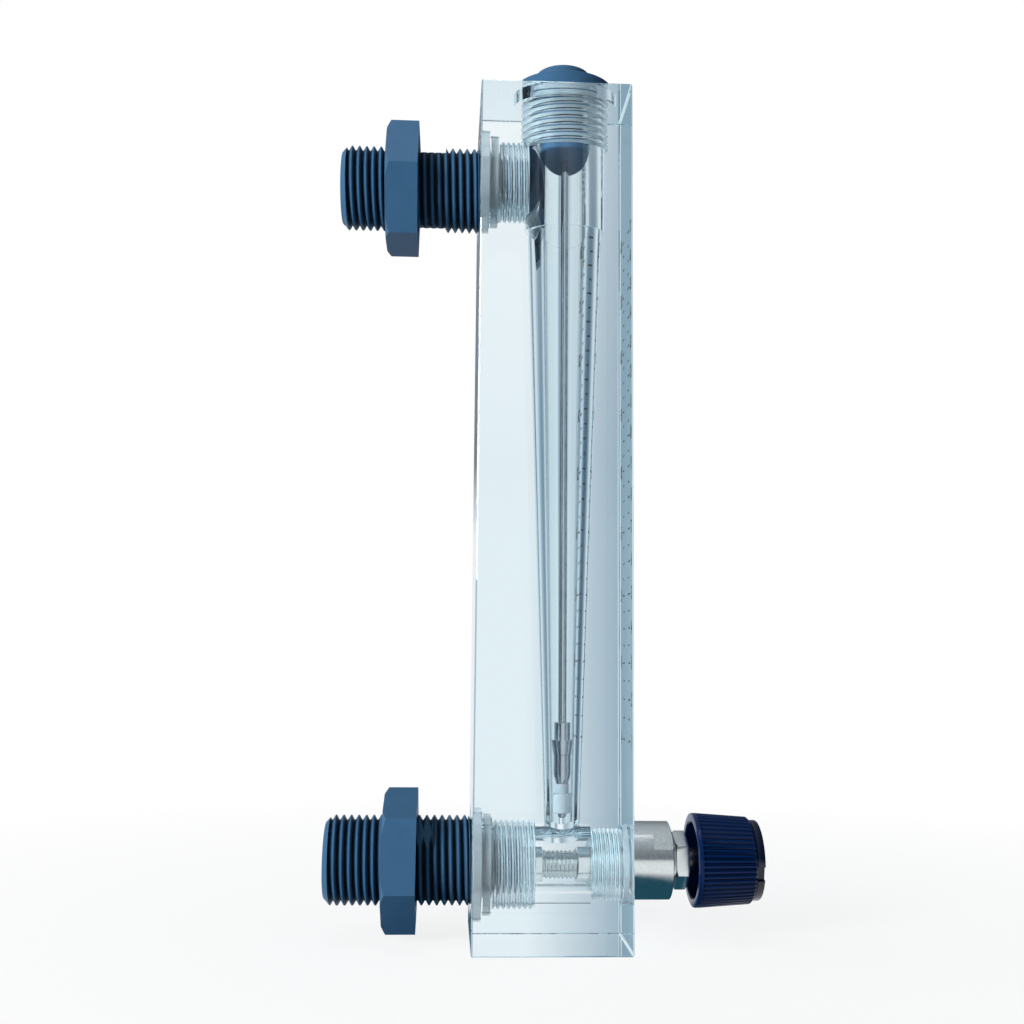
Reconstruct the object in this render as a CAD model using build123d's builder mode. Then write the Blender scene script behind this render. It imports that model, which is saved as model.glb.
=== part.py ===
from build123d import *
import math
import os

os.makedirs("parts", exist_ok=True)

# Rotameter for a panel, cut from one clear block.
# X runs from the pipe side (back, minus) to the scale side (front, plus), Z is up.
# The origin is the middle of the block's bottom face. Millimetres.

# Clear block
block_width = 37.0
block_depth = 37.0
block_height = 207.0
block_bevel = 0.4

# Where the holes lie
lower_port_z = 18.5
upper_port_drop = 21.5
tube_x = 3.0

# Play between pieces
seat_play = 0.02
thread_play = 0.1
running_play = 0.1
ring_squeeze = 0.04
end_gap = 0.3

# Metering tube
tube_top_radius = 9.25
tube_foot_radius = 4.3
chamber_radius = 10.0
chamber_depth = 12.7

# Top plug
plug_thread_radius = 11.0
plug_thread_length = 12.6
plug_tip_radius = 9.4
plug_tip_length = 2.8
plug_tip_chamfer = 1.2
plug_tip_stand = 1.0
plug_head_radius = 13.1
plug_head_height = 5.7
plug_rim_chamfer = 0.4
plug_boss_radius = 7.2
plug_dome_rise = 2.2
plug_dome_bulge = 0.35
plug_boss_height = 2.5
plug_boss_round = 1.0
plug_recess_radius = 13.0
plug_recess_depth = 1.6
plug_key_flats = 6.0
plug_key_depth = 3.0

# Guide rod, its stop and the float
rod_radius = 1.5
rod_socket = 8.0
rod_tail = 1.2
stop_height = 6.7
stop_top_height = 2.25
stop_top_radius = 2.4
stop_sleeve_radius = 3.2
stop_foot_rise = 2.4
float_height = 14.5
float_shaft_radius = 2.9
float_shaft_height = 4.1
float_head_radius = 3.95
float_head_band = 0.25
float_head_foot_radius = 3.25
float_head_height = 3.6
float_barrel_radius = 3.1
float_nose_radius = 2.25
float_nose_height = 2.3

# Back ports and their rings
face_seal_width = 2.82
outer_recess_depth = 2.5
port_seal_width = 1.47
inner_recess_depth = 2.3
port_thread_length = 10.1
upper_port_relief = 0.6

# Pipe connectors
pipe_thread_radius = 10.4775
connector_reach = 34.6
connector_tip_radius = 8.9
connector_tip_chamfer = 1.4
connector_neck_radius = 10.2
connector_inner_length = 11.6
connector_bore_radius = 6.5
connector_seat_radius = 5.0
connector_seat_length = 6.1
connector_mouth_chamfer = 0.6
connector_flats = 18.6
connector_flat_length = 11.0
connector_flat_start = 8.5
upper_flat_angle = 68.0
lower_flat_angle = 51.0

# Panel nuts
nut_flats = 29.5
nut_thickness = 8.0
nut_chamfer_angle = 30.0
nut_chamfer_radius = 15.4
nut_bore_chamfer = 0.6
upper_nut_gap = 15.3
lower_nut_gap = 12.8
upper_nut_turn = 1.5
lower_nut_turn = 41.5

# Control valve
lower_bore_radius = 9.4
valve_thread_radius = 8.25
valve_thread_length = 7.3
valve_nose_radius = 6.0
valve_nose_length = 3.0
valve_neck_radius = 7.4
front_recess_radius = 9.35
front_recess_depth = 1.7
bonnet_radius = 9.2
bonnet_length = 11.7
bonnet_end_chamfer = 1.0
bonnet_end_radius = 7.0
bonnet_flats = 17.8
bonnet_flat_length = 5.5
bonnet_flat_turn = 38.0
spindle_thread_radius = 4.95
plunger_radius = 6.0
plunger_length = 5.2
plunger_nose_radius = 4.85
plunger_nose_length = 3.0
plunger_nose_tip = 3.1
stem_radius = 3.0
valve_stroke = 7.0
stroke_room = 0.5
web_thickness = 1.0
packing_box_depth = 6.4
packing_length = 3.0
gland_shank_radius = 4.9
gland_flats = 12.0
gland_hex_length = 3.1
gland_turn = 36.0
gland_chamfer = 0.5

# Control knob
knob_gap = 1.45
knob_length = 14.1
knob_mouth_radius = 11.1
knob_front_radius = 10.2
knob_wall = 2.1
knob_rim = 1.0
knob_rim_bevel = 0.35
knob_front_bevel = 0.6
knob_web = 1.6
knob_hub_radius = 5.2
knob_hub_set_back = 3.2
flute_count = 54
flute_depth = 0.45
flute_share = 0.38
cap_radius = 9.5
cap_height = 1.9
cap_bevel = 0.4
cap_spigot_radius = 8.0
cap_spigot_length = 1.7
cap_spigot_wall = 1.6
cap_notch_width = 3.4
cap_notch_depth = 1.6
cap_notch_turn = -12.0
screw_radius = 1.5
screw_length = 8.0
screw_head_radius = 2.8
screw_head_height = 1.5
screw_drive_flats = 2.5
screw_drive_depth = 0.9

# Levels that follow from the sizes
back_x = -block_width / 2
front_x = block_width / 2
upper_port_z = block_height - upper_port_drop
tube_top_z = upper_port_z - chamber_depth
tube_foot_z = lower_port_z + lower_bore_radius
plug_seat_z = block_height - plug_recess_depth
plug_tip_z = plug_seat_z - plug_thread_length
plug_head_z = block_height
dome_foot_z = plug_head_z + plug_head_height
boss_top_z = dome_foot_z + plug_dome_rise + plug_boss_height
rod_foot_z = tube_foot_z + rod_tail
stop_foot_z = tube_foot_z + stop_foot_rise
stop_top_z = stop_foot_z + stop_height
float_foot_z = stop_top_z + seat_play
port_thread_x = back_x + outer_recess_depth + inner_recess_depth
port_thread_end = port_thread_x + port_thread_length
connector_end_x = back_x + connector_inner_length
thread_bore_radius = connector_neck_radius + thread_play
outer_recess_radius = connector_neck_radius + seat_play + face_seal_width - ring_squeeze
inner_recess_radius = connector_neck_radius + seat_play + port_seal_width - ring_squeeze
valve_thread_end = front_x - front_recess_depth
lower_bore_front = valve_thread_end - valve_thread_length
bonnet_end_x = front_x + bonnet_length
plunger_x = connector_end_x + running_play
spindle_shoulder_x = plunger_x + plunger_length
packing_x = bonnet_end_x - packing_box_depth
web_x = packing_x - web_thickness
spindle_thread_end = web_x - valve_stroke - stroke_room
gland_x = packing_x + packing_length + 2 * seat_play
gland_hex_x = bonnet_end_x + end_gap
gland_end_x = gland_hex_x + gland_hex_length
knob_x = gland_end_x + knob_gap
knob_end_x = knob_x + knob_length
cap_floor_x = knob_end_x - cap_spigot_length - seat_play
web_back_x = cap_floor_x - knob_web
hub_x = knob_x + knob_hub_set_back
stem_end_x = web_back_x - seat_play


# Planes used again and again
def lengthwise(z):
    """Upright plane along X through a port's axis."""
    return Plane(origin=(0, 0, z), x_dir=(1, 0, 0), z_dir=(0, -1, 0))


def facing_back(x, z, turn=0):
    """Plane across a port's axis, normal towards the pipes, local X turned up from the near side."""
    angle = math.radians(turn)
    return Plane(origin=(x, 0, z), x_dir=(0, -math.cos(angle), math.sin(angle)), z_dir=(-1, 0, 0))


def port_axis(z):
    """Axis of a port, along X."""
    return Axis((0, 0, z), (1, 0, 0))


tube_plane = Plane(origin=(tube_x, 0, 0), x_dir=(1, 0, 0), z_dir=(0, -1, 0))
tube_axis = Axis((tube_x, 0, 0), (0, 0, 1))

# Clear block with the tapered tube, the plug hole and the three ports
with BuildPart() as acrylic_body:
    Box(block_width, block_depth, block_height, align=(Align.CENTER, Align.CENTER, Align.MIN))
    chamfer(acrylic_body.edges(), block_bevel)
    with BuildSketch(tube_plane):
        with BuildLine():
            Polyline(
                (0, lower_port_z),
                (tube_foot_radius, lower_port_z),
                (tube_foot_radius, tube_foot_z),
                (tube_top_radius, tube_top_z),
                (chamber_radius, tube_top_z),
                (chamber_radius, plug_tip_z + plug_tip_stand),
                (plug_thread_radius + thread_play, plug_tip_z + plug_tip_stand),
                (plug_thread_radius + thread_play, plug_seat_z),
                (plug_recess_radius, plug_seat_z),
                (plug_recess_radius, block_height + 1),
                (0, block_height + 1),
                close=True,
            )
        make_face()
    revolve(axis=tube_axis, mode=Mode.SUBTRACT)
    with BuildSketch(lengthwise(upper_port_z)):
        with BuildLine():
            Polyline(
                (back_x - 1, 0),
                (back_x - 1, outer_recess_radius),
                (back_x + outer_recess_depth, outer_recess_radius),
                (back_x + outer_recess_depth, inner_recess_radius),
                (port_thread_x, inner_recess_radius),
                (port_thread_x, thread_bore_radius),
                (connector_end_x + upper_port_relief, thread_bore_radius),
                (connector_end_x + upper_port_relief, 0),
                close=True,
            )
        make_face()
    revolve(axis=port_axis(upper_port_z), mode=Mode.SUBTRACT)
    with BuildSketch(lengthwise(lower_port_z)):
        with BuildLine():
            Polyline(
                (back_x - 1, 0),
                (back_x - 1, outer_recess_radius),
                (back_x + outer_recess_depth, outer_recess_radius),
                (back_x + outer_recess_depth, inner_recess_radius),
                (port_thread_x, inner_recess_radius),
                (port_thread_x, thread_bore_radius),
                (port_thread_end, thread_bore_radius),
                (port_thread_end, lower_bore_radius),
                (lower_bore_front, lower_bore_radius),
                (lower_bore_front, valve_thread_radius + thread_play),
                (valve_thread_end, valve_thread_radius + thread_play),
                (valve_thread_end, front_recess_radius),
                (front_x + 1, front_recess_radius),
                (front_x + 1, 0),
                close=True,
            )
        make_face()
    revolve(axis=port_axis(lower_port_z), mode=Mode.SUBTRACT)

acrylic_body.part.label = "acrylic_body"
export_step(acrylic_body.part, "parts/acrylic_body.step")

# Screwed plug with its domed head, boss and key socket
with BuildPart() as top_plug:
    with BuildSketch(tube_plane):
        with BuildLine():
            Polyline(
                (0, boss_top_z),
                (0, plug_tip_z),
                (plug_tip_radius, plug_tip_z),
                (plug_tip_radius, plug_tip_z + plug_tip_length),
                (plug_thread_radius, plug_tip_z + plug_tip_length + plug_tip_chamfer),
                (plug_thread_radius, plug_head_z),
                (plug_head_radius, plug_head_z),
                (plug_head_radius, dome_foot_z),
            )
            ThreePointArc(
                (plug_head_radius, dome_foot_z),
                ((plug_head_radius + plug_boss_radius) / 2, dome_foot_z + plug_dome_rise / 2 + plug_dome_bulge),
                (plug_boss_radius, dome_foot_z + plug_dome_rise),
            )
            Polyline(
                (plug_boss_radius, dome_foot_z + plug_dome_rise),
                (plug_boss_radius, boss_top_z - plug_boss_round),
                (plug_boss_radius - plug_boss_round * 0.3, boss_top_z - plug_boss_round * 0.3),
                (plug_boss_radius - plug_boss_round, boss_top_z),
                (0, boss_top_z),
            )
        make_face()
    revolve(axis=tube_axis)
    head_foot = [e for e in top_plug.edges().filter_by(GeomType.CIRCLE)
                 if abs(e.radius - plug_head_radius) < 0.01 and e.center().Z < plug_head_z + 0.01]
    chamfer(head_foot, plug_rim_chamfer)
    with BuildSketch(Plane(top_plug.faces().sort_by(Axis.Z)[-1])):
        RegularPolygon(plug_key_flats / 2, 6, major_radius=False)
    extrude(amount=-plug_key_depth, mode=Mode.SUBTRACT)
    with BuildSketch(Plane(origin=(tube_x, 0, plug_tip_z))):
        Circle(rod_radius + seat_play)
    extrude(amount=rod_socket, mode=Mode.SUBTRACT)

top_plug.part.label = "top_plug"
export_step(top_plug.part, "parts/top_plug.step")

# Ring under the plug's head
with BuildPart() as top_plug_seal:
    with BuildSketch(Plane(origin=(tube_x, 0, plug_seat_z + seat_play))):
        Circle(plug_recess_radius - seat_play)
        Circle(plug_thread_radius + thread_play, mode=Mode.SUBTRACT)
    extrude(amount=plug_recess_depth - 2 * seat_play)
    chamfer(top_plug_seal.edges().filter_by(GeomType.CIRCLE), plug_recess_depth / 4)

top_plug_seal.part.label = "top_plug_seal"
export_step(top_plug_seal.part, "parts/top_plug_seal.step")

# Guide rod, held in the plug
with BuildPart() as guide_rod:
    with BuildSketch(Plane(origin=(tube_x, 0, rod_foot_z))):
        Circle(rod_radius)
    extrude(amount=plug_tip_z + rod_socket - seat_play - rod_foot_z)
    chamfer(guide_rod.faces().sort_by(Axis.Z)[0].edges(), 0.3)

guide_rod.part.label = "guide_rod"
export_step(guide_rod.part, "parts/guide_rod.step")

# Stop on the foot of the rod
with BuildPart() as float_stop:
    with BuildSketch(tube_plane):
        with BuildLine():
            Polyline(
                (rod_radius + seat_play, stop_foot_z),
                (stop_sleeve_radius, stop_foot_z),
                (stop_sleeve_radius, stop_top_z - stop_top_height),
                (stop_top_radius, stop_top_z - stop_top_height),
                (stop_top_radius, stop_top_z),
                (rod_radius + seat_play, stop_top_z),
                close=True,
            )
        make_face()
    revolve(axis=tube_axis)

float_stop.part.label = "float_stop"
export_step(float_stop.part, "parts/float_stop.step")

# Turned float, read at the top edge of its flared head
with BuildPart() as float_body:
    head_top_z = float_foot_z + float_height - float_shaft_height
    with BuildSketch(tube_plane):
        with BuildLine():
            Polyline(
                (rod_radius + running_play, float_foot_z),
                (float_nose_radius, float_foot_z),
                (float_barrel_radius, float_foot_z + float_nose_height),
                (float_barrel_radius, head_top_z - float_head_height),
                (float_head_foot_radius, head_top_z - float_head_height),
                (float_head_radius, head_top_z - float_head_band),
                (float_head_radius, head_top_z),
                (float_shaft_radius, head_top_z),
                (float_shaft_radius, float_foot_z + float_height),
                (rod_radius + running_play, float_foot_z + float_height),
                close=True,
            )
        make_face()
    revolve(axis=tube_axis)

float_body.part.label = "float_body"
export_step(float_body.part, "parts/float_body.step")

# Pipe side, the same four pieces at each port
ports = [
    ("upper", upper_port_z, upper_nut_gap, upper_nut_turn, upper_flat_angle),
    ("lower", lower_port_z, lower_nut_gap, lower_nut_turn, lower_flat_angle),
]
for place, port_z, nut_gap, nut_turn, flat_angle in ports:
    nut_x = back_x - nut_gap

    # Connector, bored through, with a narrower seat bore at its inner end
    with BuildPart() as connector:
        with BuildSketch(lengthwise(port_z)):
            with BuildLine():
                Polyline(
                    (back_x - connector_reach, connector_bore_radius + connector_mouth_chamfer),
                    (back_x - connector_reach, connector_tip_radius),
                    (back_x - connector_reach + connector_tip_chamfer, pipe_thread_radius),
                    (back_x - end_gap, pipe_thread_radius),
                    (back_x - end_gap, connector_neck_radius),
                    (connector_end_x - connector_mouth_chamfer, connector_neck_radius),
                    (connector_end_x, connector_neck_radius - connector_mouth_chamfer),
                    (connector_end_x, connector_seat_radius),
                    (connector_end_x - connector_seat_length, connector_seat_radius),
                    (connector_end_x - connector_seat_length, connector_bore_radius),
                    (back_x - connector_reach + connector_mouth_chamfer, connector_bore_radius),
                    close=True,
                )
            make_face()
        revolve(axis=port_axis(port_z))
        with BuildSketch(facing_back(back_x - connector_flat_start, port_z, flat_angle)):
            Rectangle(3 * pipe_thread_radius, 3 * pipe_thread_radius)
            Rectangle(connector_flats, 3 * pipe_thread_radius, mode=Mode.SUBTRACT)
        extrude(amount=connector_flat_length, mode=Mode.SUBTRACT)
    connector.part.label = f"{place}_connector"
    export_step(connector.part, f"parts/{place}_connector.step")

    # Flat ring in the outer recess
    with BuildPart() as face_seal:
        with BuildSketch(facing_back(back_x + outer_recess_depth - seat_play, port_z)):
            Circle(outer_recess_radius + ring_squeeze)
            Circle(connector_neck_radius + seat_play, mode=Mode.SUBTRACT)
        extrude(amount=outer_recess_depth - end_gap)
    face_seal.part.label = f"{place}_face_seal"
    export_step(face_seal.part, f"parts/{place}_face_seal.step")

    # Squeezed ring in the inner recess
    with BuildPart() as port_seal:
        with BuildSketch(facing_back(port_thread_x - seat_play, port_z)):
            Circle(inner_recess_radius + ring_squeeze)
            Circle(connector_neck_radius + seat_play, mode=Mode.SUBTRACT)
        extrude(amount=inner_recess_depth - 2 * seat_play)
    port_seal.part.label = f"{place}_port_seal"
    export_step(port_seal.part, f"parts/{place}_port_seal.step")

    # Panel nut, chamfered on its outer face only
    with BuildPart() as panel_nut:
        with BuildSketch(facing_back(nut_x, port_z)):
            RegularPolygon(nut_flats / 2, 6, major_radius=False, rotation=nut_turn)
        extrude(amount=nut_thickness)
        nut_corner = nut_flats / 2 / math.cos(math.radians(30)) + 1
        chamfer_run = (nut_corner - nut_chamfer_radius) * math.tan(math.radians(nut_chamfer_angle))
        with BuildSketch(lengthwise(port_z)):
            with BuildLine():
                Polyline(
                    (nut_x - nut_thickness, nut_chamfer_radius),
                    (nut_x - nut_thickness, nut_corner),
                    (nut_x - nut_thickness + chamfer_run, nut_corner),
                    close=True,
                )
            make_face()
        revolve(axis=port_axis(port_z), mode=Mode.SUBTRACT)
        with BuildSketch(facing_back(nut_x, port_z)):
            Circle(pipe_thread_radius + thread_play)
        extrude(amount=nut_thickness, mode=Mode.SUBTRACT)
        bore_rims = [e for e in panel_nut.edges().filter_by(GeomType.CIRCLE)
                     if e.radius < pipe_thread_radius + 1]
        chamfer(bore_rims, nut_bore_chamfer)
    panel_nut.part.label = f"{place}_panel_nut"
    export_step(panel_nut.part, f"parts/{place}_panel_nut.step")

# Bonnet of the control valve, with its packing box
with BuildPart() as valve_body:
    with BuildSketch(lengthwise(lower_port_z)):
        with BuildLine():
            Polyline(
                (lower_bore_front - valve_nose_length, spindle_thread_radius + thread_play),
                (lower_bore_front - valve_nose_length, valve_nose_radius),
                (lower_bore_front + seat_play, valve_nose_radius),
                (lower_bore_front + seat_play, valve_thread_radius - connector_mouth_chamfer),
                (lower_bore_front + connector_mouth_chamfer, valve_thread_radius),
                (valve_thread_end, valve_thread_radius),
                (valve_thread_end, valve_neck_radius),
                (front_x + seat_play, valve_neck_radius),
                (front_x + seat_play, bonnet_radius),
                (bonnet_end_x - bonnet_end_chamfer, bonnet_radius),
                (bonnet_end_x, bonnet_end_radius),
                (bonnet_end_x, gland_shank_radius + thread_play),
                (packing_x, gland_shank_radius + thread_play),
                (packing_x, stem_radius + running_play),
                (web_x, stem_radius + running_play),
                (web_x, spindle_thread_radius + thread_play),
                close=True,
            )
        make_face()
    revolve(axis=port_axis(lower_port_z))
    with BuildSketch(facing_back(bonnet_end_x - bonnet_flat_length, lower_port_z, bonnet_flat_turn)):
        Rectangle(3 * bonnet_radius, 3 * bonnet_radius)
        Rectangle(bonnet_flats, bonnet_flats, mode=Mode.SUBTRACT)
    extrude(amount=-bonnet_flat_length, mode=Mode.SUBTRACT)

valve_body.part.label = "valve_body"
export_step(valve_body.part, "parts/valve_body.step")

# Ring between the bonnet's neck and the front recess
with BuildPart() as valve_body_seal:
    with BuildSketch(facing_back(front_x, lower_port_z)):
        Circle(front_recess_radius + ring_squeeze)
        Circle(valve_neck_radius + seat_play, mode=Mode.SUBTRACT)
    extrude(amount=front_recess_depth - seat_play)

valve_body_seal.part.label = "valve_body_seal"
export_step(valve_body_seal.part, "parts/valve_body_seal.step")

# Plunger, screw and stem in one turned piece
with BuildPart() as valve_spindle:
    with BuildSketch(lengthwise(lower_port_z)):
        with BuildLine():
            Polyline(
                (plunger_x - plunger_nose_length, 0),
                (plunger_x - plunger_nose_length, plunger_nose_tip),
                (plunger_x, plunger_nose_radius),
                (plunger_x, plunger_radius),
                (spindle_shoulder_x, plunger_radius),
                (spindle_shoulder_x, spindle_thread_radius),
                (spindle_thread_end, spindle_thread_radius),
                (spindle_thread_end, stem_radius),
                (stem_end_x, stem_radius),
                (stem_end_x, screw_radius + seat_play),
                (cap_floor_x - screw_length - end_gap, screw_radius + seat_play),
                (cap_floor_x - screw_length - end_gap, 0),
                close=True,
            )
        make_face()
    revolve(axis=port_axis(lower_port_z))

valve_spindle.part.label = "valve_spindle"
export_step(valve_spindle.part, "parts/valve_spindle.step")

# Packing round the stem
with BuildPart() as stem_packing:
    with BuildSketch(facing_back(packing_x + seat_play, lower_port_z)):
        Circle(gland_shank_radius + thread_play - seat_play)
        Circle(stem_radius + seat_play, mode=Mode.SUBTRACT)
    extrude(amount=-packing_length)

stem_packing.part.label = "stem_packing"
export_step(stem_packing.part, "parts/stem_packing.step")

# Gland nut that presses on the packing
with BuildPart() as gland_nut:
    with BuildSketch(facing_back(gland_hex_x, lower_port_z)):
        RegularPolygon(gland_flats / 2, 6, major_radius=False, rotation=gland_turn)
    extrude(amount=-gland_hex_length)
    gland_corner = gland_flats / 2 / math.cos(math.radians(30)) + 1
    gland_edge = gland_flats / 2 - gland_chamfer / 4
    with BuildSketch(lengthwise(lower_port_z)):
        with BuildLine():
            Polyline(
                (gland_end_x, gland_edge),
                (gland_end_x, gland_corner),
                (gland_end_x - (gland_corner - gland_edge) * gland_chamfer, gland_corner),
                close=True,
            )
        make_face()
    revolve(axis=port_axis(lower_port_z), mode=Mode.SUBTRACT)
    with BuildSketch(facing_back(gland_hex_x, lower_port_z)):
        Circle(gland_shank_radius)
    extrude(amount=gland_hex_x - gland_x)
    with BuildSketch(facing_back(gland_end_x, lower_port_z)):
        Circle(stem_radius + running_play)
    extrude(amount=gland_end_x - gland_x, mode=Mode.SUBTRACT)

gland_nut.part.label = "gland_nut"
export_step(gland_nut.part, "parts/gland_nut.step")


# Outline of the knob across its axis: flat ribs with a groove between each two
def fluted_ring(outer):
    """Corner points of the fluted outline with its ribs at the given radius."""
    pitch = 360 / flute_count
    spread = pitch * flute_share / 2
    points = []
    for index in range(flute_count):
        middle = index * pitch
        for radius, angle in (
            (outer, middle - spread),
            (outer - flute_depth, middle - spread / 3),
            (outer - flute_depth, middle + spread / 3),
            (outer, middle + spread),
        ):
            turn = math.radians(angle)
            points.append((radius * math.cos(turn), radius * math.sin(turn)))
    return points


# Fluted knob, open towards the bonnet, with its hub on the stem
with BuildPart() as control_knob:
    taper = (knob_mouth_radius - knob_front_radius) / knob_length
    with BuildSketch(facing_back(knob_x + knob_rim, lower_port_z)):
        with BuildLine():
            Polyline(*fluted_ring(knob_mouth_radius - taper * knob_rim), close=True)
        make_face()
    with BuildSketch(facing_back(knob_end_x, lower_port_z)):
        with BuildLine():
            Polyline(*fluted_ring(knob_front_radius), close=True)
        make_face()
    loft(ruled=True)
    with BuildSketch(lengthwise(lower_port_z)):
        with BuildLine():
            Polyline(
                (knob_x, 0),
                (knob_x, knob_mouth_radius - knob_rim_bevel),
                (knob_x + knob_rim_bevel, knob_mouth_radius),
                (knob_x + knob_rim, knob_mouth_radius - taper * knob_rim),
                (knob_x + knob_rim, 0),
                close=True,
            )
        make_face()
    revolve(axis=port_axis(lower_port_z))
    with BuildSketch(lengthwise(lower_port_z)):
        with BuildLine():
            Polyline(
                (knob_end_x, knob_front_radius - knob_front_bevel),
                (knob_end_x, knob_front_radius + 1),
                (knob_end_x - 1 - knob_front_bevel, knob_front_radius + 1),
                close=True,
            )
        make_face()
    revolve(axis=port_axis(lower_port_z), mode=Mode.SUBTRACT)
    with BuildSketch(facing_back(web_back_x, lower_port_z)):
        Circle(knob_mouth_radius - knob_wall)
    extrude(amount=web_back_x - knob_x, mode=Mode.SUBTRACT)
    with BuildSketch(facing_back(web_back_x, lower_port_z)):
        Circle(knob_hub_radius)
    extrude(amount=web_back_x - hub_x)
    with BuildSketch(facing_back(knob_end_x, lower_port_z)):
        Circle(cap_spigot_radius + seat_play)
    extrude(amount=knob_end_x - cap_floor_x, mode=Mode.SUBTRACT)
    with BuildSketch(facing_back(web_back_x, lower_port_z)):
        Circle(stem_radius + seat_play)
    extrude(amount=web_back_x - hub_x, mode=Mode.SUBTRACT)
    with BuildSketch(facing_back(cap_floor_x, lower_port_z)):
        Circle(screw_radius + thread_play)
    extrude(amount=knob_web, mode=Mode.SUBTRACT)

control_knob.part.label = "control_knob"
export_step(control_knob.part, "parts/control_knob.step")

# Screw down the stem's axis
with BuildPart() as knob_screw:
    with BuildSketch(facing_back(cap_floor_x + seat_play, lower_port_z)):
        Circle(screw_radius)
    extrude(amount=screw_length)
    with BuildSketch(facing_back(cap_floor_x + seat_play, lower_port_z)):
        Circle(screw_head_radius)
    extrude(amount=-screw_head_height)
    head_x = cap_floor_x + seat_play + screw_head_height
    with BuildSketch(facing_back(head_x, lower_port_z)):
        RegularPolygon(screw_drive_flats / 2, 6, major_radius=False)
    extrude(amount=screw_drive_depth, mode=Mode.SUBTRACT)

knob_screw.part.label = "knob_screw"
export_step(knob_screw.part, "parts/knob_screw.step")

# Cap with the pointer notch in its rim
with BuildPart() as knob_cap:
    with BuildSketch(facing_back(knob_end_x + seat_play, lower_port_z)):
        Circle(cap_radius)
    extrude(amount=-cap_height)
    front_rim = knob_cap.faces().sort_by(Axis.X)[-1].edges()
    chamfer(front_rim, cap_bevel)
    with BuildSketch(facing_back(knob_end_x + seat_play, lower_port_z)):
        Circle(cap_spigot_radius)
        Circle(cap_spigot_radius - cap_spigot_wall, mode=Mode.SUBTRACT)
    extrude(amount=cap_spigot_length - end_gap)
    with BuildSketch(facing_back(knob_end_x + cap_height + 1, lower_port_z, cap_notch_turn)):
        with Locations((cap_radius, 0)):
            Rectangle(2 * cap_notch_depth, cap_notch_width)
    extrude(amount=cap_height + 1 - seat_play, mode=Mode.SUBTRACT)

knob_cap.part.label = "knob_cap"
export_step(knob_cap.part, "parts/knob_cap.step")

print("tube foot", round(tube_foot_z, 3), "tube top", round(tube_top_z, 3), "plug tip", round(plug_tip_z, 3))
print("float travel", round(plug_tip_z - float_foot_z - float_height, 3))
print("valve stroke", round(valve_stroke, 3), "web", round(web_x, 3), "knob end", round(knob_end_x, 3))
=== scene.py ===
import logging
import math
from dataclasses import dataclass, field
from enum import Enum

import bpy
from mathutils import Matrix, Vector


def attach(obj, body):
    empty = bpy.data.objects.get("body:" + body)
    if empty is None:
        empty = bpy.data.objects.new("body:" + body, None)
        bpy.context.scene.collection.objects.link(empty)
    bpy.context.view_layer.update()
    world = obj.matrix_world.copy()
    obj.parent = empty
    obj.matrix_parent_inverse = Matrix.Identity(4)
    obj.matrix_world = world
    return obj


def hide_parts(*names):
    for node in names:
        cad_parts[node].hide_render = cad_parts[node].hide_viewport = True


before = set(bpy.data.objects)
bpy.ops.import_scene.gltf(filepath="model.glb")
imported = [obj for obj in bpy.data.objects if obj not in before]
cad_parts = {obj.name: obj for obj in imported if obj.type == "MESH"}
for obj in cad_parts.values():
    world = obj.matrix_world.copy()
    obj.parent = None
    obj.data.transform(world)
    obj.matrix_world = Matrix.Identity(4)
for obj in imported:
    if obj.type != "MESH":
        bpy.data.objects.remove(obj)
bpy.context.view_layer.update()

logging.basicConfig(level=logging.INFO, format="%(name)s: %(message)s")
log = logging.getLogger("rotameter")

MM = 0.001
# Corners nearer than this, in metres, become one
CLOSE = 1e-6
WELD = 2e-6
SAME = 1e-7
Outline = list[tuple[float, float]]
Stops = tuple[tuple[float, str], ...]
Piece = bpy.types.Object
Material = bpy.types.Material
Tree = bpy.types.NodeTree
Socket = bpy.types.NodeSocket

# Axes that most pieces are turned about, in millimetres
TUBE_X = 3.0
LOWER_Z = 18.5
UPPER_Z = 185.5


class Lie(Enum):
    """How a turned piece lies: up the metering tube, or along a port."""

    TUBE = (TUBE_X, 0.0)
    LOWER_PORT = (0.0, LOWER_Z)
    UPPER_PORT = (0.0, UPPER_Z)

    @property
    def upright(self) -> bool:
        """Whether the axis stands up."""
        return self is Lie.TUBE

    def centre(self) -> Vector:
        """A point on the axis, in metres."""
        return Vector((self.value[0], 0.0, self.value[1])) * MM

    def axis(self) -> Vector:
        """The axis's direction."""
        return Vector((0, 0, 1)) if self.upright else Vector((1, 0, 0))

    def point(self, station: float, radius: float) -> Vector:
        """Place a station and a radius in millimetres as a point in metres.

        Args:
            station: how far along the axis.
            radius: how far from it.

        Returns:
            The point, in the plane of X and Z.
        """
        centre = self.centre()
        if self.upright:
            return Vector((centre.x + radius * MM, 0, station * MM))
        return Vector((station * MM, 0, centre.z + radius * MM))


class Cut(Enum):
    """What a tool solid does to the piece it meets."""

    REMOVE = "DIFFERENCE"
    ADD = "UNION"
    KEEP_INSIDE = "INTERSECT"


# Bench work


def lay_down() -> None:
    """Leave edit mode and let go of everything."""
    if bpy.context.object and bpy.context.object.mode != "OBJECT":
        bpy.ops.object.mode_set(mode="OBJECT")
    bpy.ops.object.select_all(action="DESELECT")


def take(piece: Piece) -> None:
    """Select one piece alone and make it active.

    Args:
        piece: the object to work on.
    """
    lay_down()
    piece.select_set(True)
    bpy.context.view_layer.objects.active = piece


def tidy_mesh(piece: Piece, reach: float = WELD) -> None:
    """Merge doubled corners and turn all faces outwards.

    Args:
        piece: the object to tidy.
        reach: corners nearer than this become one, in metres.
    """
    take(piece)
    bpy.ops.object.mode_set(mode="EDIT")
    bpy.ops.mesh.select_all(action="SELECT")
    bpy.ops.mesh.remove_doubles(threshold=reach)
    bpy.ops.mesh.normals_make_consistent(inside=False)
    lay_down()


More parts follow.
